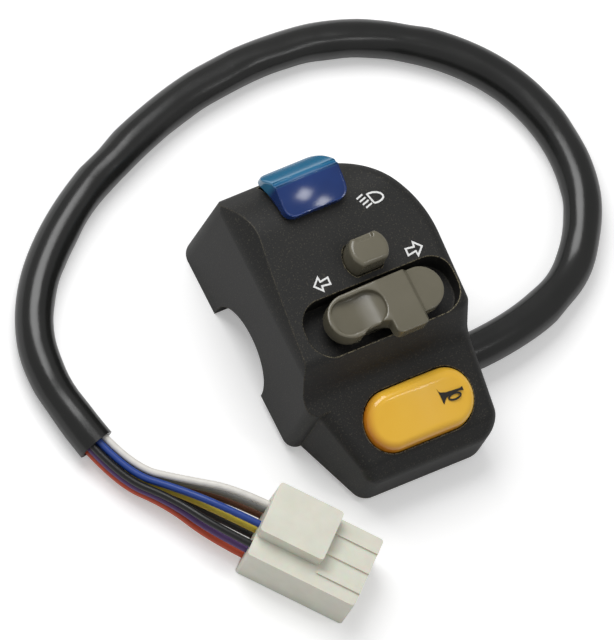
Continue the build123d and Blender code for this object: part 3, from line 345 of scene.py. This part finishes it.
# %% [markdown]
# The moulded keys have soft corners of about half a millimetre, too fine for the solids. A
# bevel would have to follow every one of their many small edges. Instead, a copy of each piece
# is merged, wrapped in a fine voxel skin and smoothed, which rounds every edge alike, and then
# stands in for the piece.

# %% Soft-edged keys
def soften(name, body, voxel, rounds):
    """A voxel-skinned copy of a piece, voxel in millimetres, smoothed for some rounds."""
    shape = bmesh.new()
    shape.from_mesh(nodes[name].data)
    bmesh.ops.remove_doubles(shape, verts=shape.verts, dist=0.002 * MM)
    mesh = bpy.data.meshes.new(name + "_soft")
    shape.to_mesh(mesh)
    shape.free()
    piece = bpy.data.objects.new(name + "_soft", mesh)
    bpy.context.scene.collection.objects.link(piece)
    skin = piece.modifiers.new("skin", "REMESH")
    skin.mode = "VOXEL"
    skin.voxel_size = voxel * MM
    skin.use_smooth_shade = True
    even = piece.modifiers.new("even", "SMOOTH")
    even.factor = 0.5
    even.iterations = rounds
    finished = bpy.data.meshes.new_from_object(
        piece.evaluated_get(bpy.context.evaluated_depsgraph_get())
    )
    piece.modifiers.clear()
    piece.data = finished
    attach(piece, body)
    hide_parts(name)
    print(name, "skinned with", len(finished.polygons), "faces")
    return piece


knob = soften("turn_knob", "turn", voxel=0.15, rounds=14)
pass_key = soften("pass_button", "pass", voxel=0.15, rounds=12)
horn_key = soften("horn_button", "horn", voxel=0.2, rounds=8)
rocker = soften("dip_rocker", "dip", voxel=0.17, rounds=10)

# %% [markdown]
# The front of the dip rocker isn't flat: it is crowned by half a millimetre, and that is why a
# window shows in it as a small patch. Its skin is dense enough to take the crown directly, so
# the vertices that face forwards move back, more the further they are from the middle.

# %% Crown on the rocker's front
front_way = Vector((0, -0.28, 0.96)).normalized()
front_middle = Vector((-3.9, 19.2, 39.4)) * MM
front_across = front_way.cross(Vector((1, 0, 0)))
crown_depth = 0.55 * MM
crown_half_width = 8.15 * MM
crown_half_height = 4.4 * MM
crown_height_share = 0.45
crown_limit = 1.4
arm_top_z = 30 * MM

facings = [max(0, v.normal.dot(front_way)) ** 2 for v in rocker.data.vertices]
for v, facing in zip(rocker.data.vertices, facings):
    if v.co.z > arm_top_z:
        away = v.co - front_middle
        sideways = (away.x / crown_half_width) ** 2
        upwards = (away.dot(front_across) / crown_half_height) ** 2
        bow = min(sideways + crown_height_share * upwards, crown_limit)
        v.co -= front_way * crown_depth * facing * bow
rocker.data.update()
print("rocker crowned by", round(crown_depth / MM, 2), "mm")

# %% [markdown]
# The springs under the pass and horn buttons shorten by the button's travel when it is pushed.
# A spring can't follow the joint as a rigid piece does, so a copy of each, with a mesh of its
# own, is fixed to the housing in place of the piece; it keeps its full length.

# %% Springs fixed to the housing
def shorten(name):
    """A copy of a spring with its own mesh, fixed to the housing in place of the piece."""
    spring = bpy.data.objects.new(name + "_moving", nodes[name].data.copy())
    bpy.context.scene.collection.objects.link(spring)
    low, high = (Vector(corner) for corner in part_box(name))
    foot = (low + high) / 2
    foot.z = low.z
    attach(spring, "root")
    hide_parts(name)
    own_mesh(spring)
    return spring


moving_springs = [
    shorten("pass_spring"),
    shorten("horn_spring"),
]

# %% [markdown]
# The housing is injection-moulded ABS from a spark-eroded mould. That leaves a fine grain that
# breaks up the light, so the black looks charcoal and never mirrors; its glints are painted in
# as pale flecks. The real grain is 0.1 to 0.2 mm and is drawn at 0.4 mm, because a finer one
# wouldn't show. The convex edges are painted pale, partly as wear from handling and partly as
# a painted highlight: the Bevel node finds edges, and ambient occlusion leaves out the inner
# corners. The left end, away from the thumb, is hardly worn, so the pale edges grow along Object X.

# %% Spark-textured ABS of the housing
def spark_textured_abs():
    """Textured black ABS: charcoal clouds, a fine grain with painted glint flecks, pale edges of
    wear and painted highlight.
    """
    material, place = start_material(
        "spark_textured_abs", Roughness=0.55, IOR=1.54, Specular_IOR_Level=0.3
    )
    cloud = add_node(
        material, "ShaderNodeTexNoise", {"Vector": place, "Scale": per_mm(14)}
    ).outputs["Fac"]
    grain = add_node(
        material, "ShaderNodeTexNoise", {"Vector": place, "Scale": per_mm(0.4), "Detail": 1}
    ).outputs["Fac"]
    fleck = add_node(
        material, "ShaderNodeTexNoise", {"Vector": place, "Scale": per_mm(0.33), "Detail": 0}
    ).outputs["Fac"]
    black = add_node(
        material, "ShaderNodeMix",
        {0: cloud, 6: linear("1B1C1C"), 7: linear("242321")}, data_type="RGBA",
    ).outputs[2]
    # Painted glints: pale flecks of 4A463C stand in for light sparkling off the grain.
    painted_glint_share = add_node(
        material, "ShaderNodeMapRange",
        {"Value": fleck, "From Min": 0.63, "From Max": 0.76, "To Max": 0.45},
    ).outputs["Result"]
    glint_flecked = add_node(
        material, "ShaderNodeMix", {0: painted_glint_share, 6: black, 7: linear("4A463C")}, data_type="RGBA"
    ).outputs[2]

    # An edge is where the rounded normal leaves the flat one; shelter marks inner corners.
    rounded = add_node(
        material, "ShaderNodeBevel", {"Radius": 0.5 * MM}, samples=6
    ).outputs["Normal"]
    flat = add_node(material, "ShaderNodeNewGeometry").outputs["Normal"]
    bend = add_node(
        material, "ShaderNodeVectorMath", {0: rounded, 1: flat}, operation="DOT_PRODUCT"
    ).outputs["Value"]
    edge = add_node(
        material, "ShaderNodeMapRange", {"Value": bend, "From Min": 0.99, "From Max": 0.9}
    ).outputs["Result"]
    shelter = add_node(
        material, "ShaderNodeAmbientOcclusion", {"Distance": 1.2 * MM},
        samples=8, only_local=True,
    ).outputs["AO"]
    outer = add_node(
        material, "ShaderNodeMapRange", {"Value": shelter, "From Min": 0.55, "From Max": 0.8}
    ).outputs["Result"]
    patchy = add_node(
        material, "ShaderNodeMapRange", {"Value": grain, "From Min": 0.35, "From Max": 0.6}
    ).outputs["Result"]
    along = add_node(material, "ShaderNodeSeparateXYZ", {0: place}).outputs["X"]
    thumbed = add_node(
        material, "ShaderNodeMapRange",
        {"Value": along, "From Min": -20 * MM, "From Max": -12 * MM, "To Min": 0.15, "To Max": 0.8},
    ).outputs["Result"]
    # The pale edge colour A79C7C is partly wear and partly a painted highlight on the convex edges.
    wear_and_highlight = edge
    for share in (outer, patchy, thumbed):
        wear_and_highlight = add_node(
            material, "ShaderNodeMath", {0: wear_and_highlight, 1: share}, operation="MULTIPLY"
        ).outputs[0]
    colour = add_node(
        material, "ShaderNodeMix", {0: wear_and_highlight, 6: glint_flecked, 7: linear("A79C7C")}, data_type="RGBA"
    ).outputs[2]
    return finish_material(material, colour, grain, 0.35, 0.06, rounded)


dress(nodes["front_housing"], spark_textured_abs())

# %% [markdown]
# The grey keys are ABS as well, from a polished mould: a satin skin over a warm grey. Thumbs
# have browned it in broad clouds, which one slow noise between two greys gives.

# %% Satin grey ABS
def satin_grey_abs():
    """Polished grey ABS: soft highlights over a warm grey that is browner in broad clouds."""
    material, place = start_material("satin_grey_abs", Roughness=0.22, IOR=1.54)
    cloud = add_node(
        material, "ShaderNodeTexNoise", {"Vector": place, "Scale": per_mm(7)}
    ).outputs["Fac"]
    base = add_node(
        material, "ShaderNodeMix",
        {0: cloud, 6: linear("625E4E"), 7: linear("6F6A5B")}, data_type="RGBA",
    ).outputs[2]
    grain = add_node(
        material, "ShaderNodeTexNoise", {"Vector": place, "Scale": per_mm(0.6)}
    ).outputs["Fac"]
    return finish_material(material, base, grain, 0.08, 0.03)


grey = satin_grey_abs()
dress(knob, grey)
dress(pass_key, grey)

# %% [markdown]
# The horn button is glossy yellow ABS. Light that enters the plastic comes out warmer round its
# flanks, most of all at the left end. Subsurface scattering would give that slowly and with
# noise, so that light is painted in instead: a painted orange shade where the surface leans
# away from the top. The object-space normal gives that lean, and it moves with the button.

# %% Glossy yellow ABS
def glossy_yellow_abs():
    """Glossy yellow ABS: a clean shine, and a painted orange shade on the flanks for light
    scattered in the plastic.
    """
    material, place = start_material("glossy_yellow_abs", Roughness=0.16, IOR=1.54)
    lean = add_node(material, "ShaderNodeTexCoord").outputs["Normal"]
    leftwards_and_down = (-0.75, -0.1, -0.65)
    away = add_node(
        material, "ShaderNodeVectorMath", {0: lean, 1: leftwards_and_down}, operation="DOT_PRODUCT"
    ).outputs["Value"]
    # Painted shade: the flanks that lean away from the top are painted orange.
    painted_flank_shade = add_node(
        material, "ShaderNodeMapRange", {"Value": away, "From Min": -0.5, "From Max": 0.4}
    ).outputs["Result"]
    cloud = add_node(
        material, "ShaderNodeTexNoise", {"Vector": place, "Scale": per_mm(8)}
    ).outputs["Fac"]
    top = add_node(
        material, "ShaderNodeMix",
        {0: cloud, 6: linear("F6BC34"), 7: linear("FAC848")}, data_type="RGBA",
    ).outputs[2]
    base = add_node(
        material, "ShaderNodeMix", {0: painted_flank_shade, 6: top, 7: linear("C87A1C")}, data_type="RGBA"
    ).outputs[2]
    return finish_material(material, base, cloud, 0.05, 0.1)


dress(horn_key, glossy_yellow_abs())

# %% [markdown]
# The dip rocker is glossy blue ABS. Its front is deep blue, and the thin plate behind the
# ridge lets light through, which is painted in as a teal glow. Two materials would meet in a hard
# line; one material whose colour follows Object Y across the ridge gives the soft change.

# %% Glossy blue ABS
def glossy_blue_abs():
    """Glossy blue ABS: mirror-like window patches, deep blue in front, and behind the ridge a
    painted teal glow of light through the plate.
    """
    material, place = start_material("glossy_blue_abs", Roughness=0.12, IOR=1.54)
    depth = add_node(material, "ShaderNodeSeparateXYZ", {0: place}).outputs["Y"]
    # Painted light: behind the ridge the blue turns to a teal glow of light through the plate.
    painted_teal_glow = add_node(
        material, "ShaderNodeMapRange",
        {"Value": depth, "From Min": 22.4 * MM, "From Max": 24.2 * MM},
    ).outputs["Result"]
    cloud = add_node(
        material, "ShaderNodeTexNoise", {"Vector": place, "Scale": per_mm(7)}
    ).outputs["Fac"]
    front = add_node(
        material, "ShaderNodeMix",
        {0: cloud, 6: linear("122A60"), 7: linear("193A7A")}, data_type="RGBA",
    ).outputs[2]
    base = add_node(
        material, "ShaderNodeMix", {0: painted_teal_glow, 6: front, 7: linear("2A7298")}, data_type="RGBA"
    ).outputs[2]
    return finish_material(material, base, cloud, 0.05, 0.1)


dress(rocker, glossy_blue_abs())

# %% [markdown]
# The plug is natural nylon 66, milky and half clear. A little subsurface scattering gives the
# milkiness, which a plain white can't; the fine mottling comes from the way nylon crystallises
# in the mould.

# %% Natural nylon
def natural_nylon():
    """Moulded natural nylon: milky white with soft shadows and a faint mottling."""
    material, place = start_material(
        "natural_nylon", Roughness=0.4, IOR=1.53, Subsurface_Weight=0.35, Subsurface_Scale=1.5 * MM
    )
    cloud = add_node(
        material, "ShaderNodeTexNoise", {"Vector": place, "Scale": per_mm(4)}
    ).outputs["Fac"]
    base = add_node(
        material, "ShaderNodeMix",
        {0: cloud, 6: linear("DAD9CA"), 7: linear("EBEADD")}, data_type="RGBA",
    ).outputs[2]
    mottle = add_node(
        material, "ShaderNodeTexNoise", {"Vector": place, "Scale": per_mm(0.8)}
    ).outputs["Fac"]
    return finish_material(material, base, mottle, 0.12, 0.05)


dress(nodes["connector_housing"], natural_nylon())

# %% [markdown]
# Inside are rolled brass contacts, zinc-plated steel springs and screws, white acetal carriers
# and brown phenolic contact bases. Each has its colour, its gloss and a fine mark of how it
# was made: rolling lines in brass, spangle in zinc, moulding clouds in acetal and paper fibres
# in the phenolic board. They are small and mostly in shadow, so one pattern, sized for each,
# does for all four.

# %% Metals and inner plastics
def inner_finish(name, low, high, roughness, metallic, size, strength):
    """One of the inner materials, with its two tones and the size of its marks in millimetres."""
    material, place = start_material(name, Roughness=roughness, Metallic=metallic)
    marks = add_node(
        material, "ShaderNodeTexNoise", {"Vector": place, "Scale": per_mm(size), "Detail": 3}
    ).outputs["Fac"]
    base = add_node(
        material, "ShaderNodeMix", {0: marks, 6: linear(low), 7: linear(high)}, data_type="RGBA"
    ).outputs[2]
    return finish_material(material, base, marks, strength, 0.02)


inner_finishes = {
    "brass": inner_finish("rolled_brass", "C1964A", "DDB76A", 0.3, 1, 0.8, 0.1),
    "steel": inner_finish("zinc_plated_steel", "A2A2A0", "C6C6C4", 0.32, 1, 0.8, 0.1),
    "white_acetal": inner_finish("white_acetal", "D8D7D0", "E6E5DF", 0.4, 0, 3.0, 0.05),
    "brown_phenolic": inner_finish("brown_phenolic", "4F3220", "6E4C2F", 0.5, 0, 1.2, 0.15),
}
for name, slot in slots.items():
    if slot in inner_finishes:
        dress(nodes[name], inner_finishes[slot])
for spring in moving_springs:
    dress(spring, inner_finishes["steel"])

# %% [markdown]
# The symbols are pad-printed: a film of ink 0.04 mm thick on the face. A painted texture would
# be lost in the mesh files, so each symbol is a mesh: a flat outline of a few vertices whose
# face is inset by the line's width and cut out, then given the ink's thickness and sheared
# onto the sloping face.

# %% Printing helpers
ink_film = 0.04
line_width = 0.42
ring_segments = 28


def ink_mesh(name, body, outlines, rings, solids, height, slope):
    """Ink lines along outlines and rings, and filled areas, on Z = height + slope Y, in mm."""
    shape = bmesh.new()
    for points in solids:
        shape.faces.new([shape.verts.new((x * MM, y * MM, 0)) for x, y in points])
    closed = [
        shape.faces.new([shape.verts.new((x * MM, y * MM, 0)) for x, y in points])
        for points in outlines
    ]
    for (x, y), (half_width, half_height) in rings:
        circle = bmesh.ops.create_circle(
            shape, cap_ends=True, segments=ring_segments, radius=MM
        )["verts"]
        bmesh.ops.scale(shape, verts=circle, vec=(half_width, half_height, 1))
        bmesh.ops.translate(shape, verts=circle, vec=(x * MM, y * MM, 0))
        closed.append(circle[0].link_faces[0])
    for face in closed:
        face.normal_update()
        bmesh.ops.inset_individual(
            shape, faces=[face], thickness=line_width * MM, use_even_offset=True
        )
        bmesh.ops.delete(shape, geom=[face], context="FACES_ONLY")
    bmesh.ops.recalc_face_normals(shape, faces=shape.faces)
    for face in shape.faces:
        if face.normal.z < 0:
            face.normal_flip()
    flat = shape.faces[:] + shape.edges[:] + shape.verts[:]
    raised = bmesh.ops.extrude_face_region(shape, geom=flat, use_keep_orig=True)["geom"]
    tops = [v for v in raised if isinstance(v, bmesh.types.BMVert)]
    bmesh.ops.translate(shape, verts=tops, vec=(0, 0, 2 * ink_film * MM))
    foot = (height - ink_film) * MM
    onto_face = Matrix(((1, 0, 0, 0), (0, 1, 0, 0), (0, slope, 1, foot), (0, 0, 0, 1)))
    bmesh.ops.transform(shape, matrix=onto_face, verts=shape.verts)
    bmesh.ops.triangulate(shape, faces=shape.faces)
    bmesh.ops.recalc_face_normals(shape, faces=shape.faces)
    mesh = bpy.data.meshes.new(name)
    shape.to_mesh(mesh)
    shape.free()
    piece = bpy.data.objects.new(name, mesh)
    bpy.context.scene.collection.objects.link(piece)
    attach(piece, body)
    print(name, "is printed in", len(mesh.polygons), "triangles")
    return piece


def printed_ink(name, low, high):
    """Pad-printing ink: matt, with a slight unevenness of the film."""
    material, place = start_material(name, Roughness=0.55)
    film = add_node(
        material, "ShaderNodeTexNoise", {"Vector": place, "Scale": per_mm(0.7)}
    ).outputs["Fac"]
    base = add_node(
        material, "ShaderNodeMix", {0: film, 6: linear(low), 7: linear(high)}, data_type="RGBA"
    ).outputs[2]
    return finish_material(material, base)


# %% [markdown]
# The sloping face carries the standard signs for the indicators and the dipped lamp, in white.
# One arrow drawn about its own middle serves both sides, shifted for the left and mirrored for
# the right. The lamp is an outlined glass with four slanting beams, each a filled bar.

# %% Arrows and lamp in white ink
face_height = 33.3
face_slope = math.tan(math.radians(7.4))
arrow = [
    (-2.2, 0), (-0.1, 2.05), (0.1, 0.75), (2.2, 1.05), (2.2, -1.05), (0.1, -0.75), (-0.1, -2.05),
]
left_arrow_place = (-9.9, -0.1)
right_arrow_place = (14.15, -0.75)
left_arrow = [(left_arrow_place[0] + x, left_arrow_place[1] + y) for x, y in arrow]
right_arrow = [(right_arrow_place[0] - x, right_arrow_place[1] + y) for x, y in arrow]
lamp_glass = [
    (8.8, 14.85), (9.6, 14.95), (10.55, 14.85), (11.55, 14.5), (12.35, 13.95), (12.7, 13.25),
    (12.6, 12.6), (11.9, 12.15), (11.0, 11.95), (10.0, 12.0), (9.6, 12.3),
]
beam_starts = [(8.0, 15.05), (8.43, 14.2), (8.85, 13.35), (9.3, 12.45)]
beam_way = Vector((-1.72, -0.5))
beam_half = Vector((0.06, -0.19))
beams = []
for beam_start in beam_starts:
    start = Vector(beam_start)
    end = start + beam_way
    beams.append([start + beam_half, start - beam_half, end - beam_half, end + beam_half])
white_print = ink_mesh(
    "face_symbols", "root",
    outlines=[left_arrow, right_arrow, lamp_glass], rings=[], solids=beams,
    height=face_height, slope=face_slope,
)
dress(white_print, printed_ink("white_printing_ink", "DFE0E0", "F4F4F2"))

# %% [markdown]
# The horn button carries the sign of a bulb horn in dark ink: a filled tube that opens to a
# bell, with the coil as a ring. It rides with the button and lies on the button's own slope,
# which follows the pod's face at 21.4 degrees and stands 3.2 mm proud of it.

# %% Horn in dark ink
pod_lip_y = -39.2
pod_lip_z = 14.6
key_proud = 3.2
key_slope = math.tan(math.radians(21.4))
key_height = pod_lip_z - pod_lip_y * key_slope + key_proud
horn_tube = [
    (8.15, -29.95), (8.37, -30.6), (8.8, -31.0), (10.15, -31.4), (12.1, -31.53), (13.75, -31.6),
    (14.3, -31.4), (14.33, -32.35), (13.45, -32.1), (12.2, -32.05), (10.85, -32.2),
    (9.87, -32.5), (9.3, -32.96), (8.74, -33.67), (8.62, -32.8), (8.5, -31.7), (8.35, -30.7),
]
ring_centre = (11.85, -32.85)
ring_reach = (1.75, 0.85)
horn_print = ink_mesh(
    "horn_symbol", "horn",
    outlines=[], rings=[(ring_centre, ring_reach)], solids=[horn_tube],
    height=key_height, slope=key_slope,
)
dress(horn_print, printed_ink("dark_printing_ink", "15130F", "231F19"))

# %% [markdown]
# The switch lies on a plain pale table, as in a product photograph. More light would bleach
# the object too, so the table glows a little for the camera alone and the shadows stay.

# %% Table
table_gap = 0.02
table_half_side = 2.0
table_glow = 0.3

table_mesh = bpy.data.meshes.new("table")
shape = bmesh.new()
bmesh.ops.create_grid(shape, x_segments=1, y_segments=1, size=table_half_side)
shape.to_mesh(table_mesh)
shape.free()
table = bpy.data.objects.new("table", table_mesh)
table.location = (0, 0, (floor_z - table_gap) * MM)
bpy.context.scene.collection.objects.link(table)


def white_table():
    """Matt white board: an even pale tone with no shine, lifted to white for the camera."""
    material, place = start_material("white_table", Roughness=0.8)
    tone = add_node(
        material, "ShaderNodeTexNoise", {"Vector": place, "Scale": per_mm(60)}
    ).outputs["Fac"]
    base = add_node(
        material, "ShaderNodeMix",
        {0: tone, 6: linear("F3F3F3"), 7: linear("F7F7F7")}, data_type="RGBA",
    ).outputs[2]
    seen = add_node(material, "ShaderNodeLightPath").outputs["Is Camera Ray"]
    glow = add_node(
        material, "ShaderNodeMath", {0: seen, 1: table_glow}, operation="MULTIPLY"
    ).outputs[0]
    shader = material.node_tree.nodes["Principled BSDF"]
    material.node_tree.links.new(glow, shader.inputs["Emission Strength"])
    shader.inputs["Emission Color"].default_value = (1, 1, 1, 1)
    return finish_material(material, base)


dress(table, white_table())

# %% [markdown]
# A white world fills the shadows and one large softbox, high behind the switch, lights it. It
# stands where no flat face mirrors it into the camera, or the keys would turn milky. Two small
# lamps stand where the crowned rocker does mirror them, and make its two window patches.

# %% World and lamps
world_strength = 0.4
world = bpy.data.worlds.new("studio")
bpy.context.scene.world = world
world.use_nodes = True
background = world.node_tree.nodes["Background"]
background.inputs["Color"].default_value = (1, 1, 1, 1)
background.inputs["Strength"].default_value = world_strength


def soft_lamp(name, place, size, power):
    """A square lamp, place and size in metres and power in watts, that faces the origin."""
    data = bpy.data.lights.new(name, "AREA")
    data.size = size
    data.energy = power
    lamp = bpy.data.objects.new(name, data)
    lamp.location = place
    lamp.rotation_euler = (-Vector(place)).to_track_quat("-Z", "Y").to_euler()
    bpy.context.scene.collection.objects.link(lamp)
    print(name, "gives", power, "W from", round(Vector(place).length, 2), "m")


soft_lamp("window_left", (0.13, -0.13, 0.46), size=0.05, power=0.07)
soft_lamp("window_right", (0.19, -0.20, 0.42), size=0.05, power=0.07)
soft_lamp("softbox", (-0.06, 0.24, 0.43), size=0.32, power=1.6)
bpy.context.scene.view_settings.view_transform = "Standard"
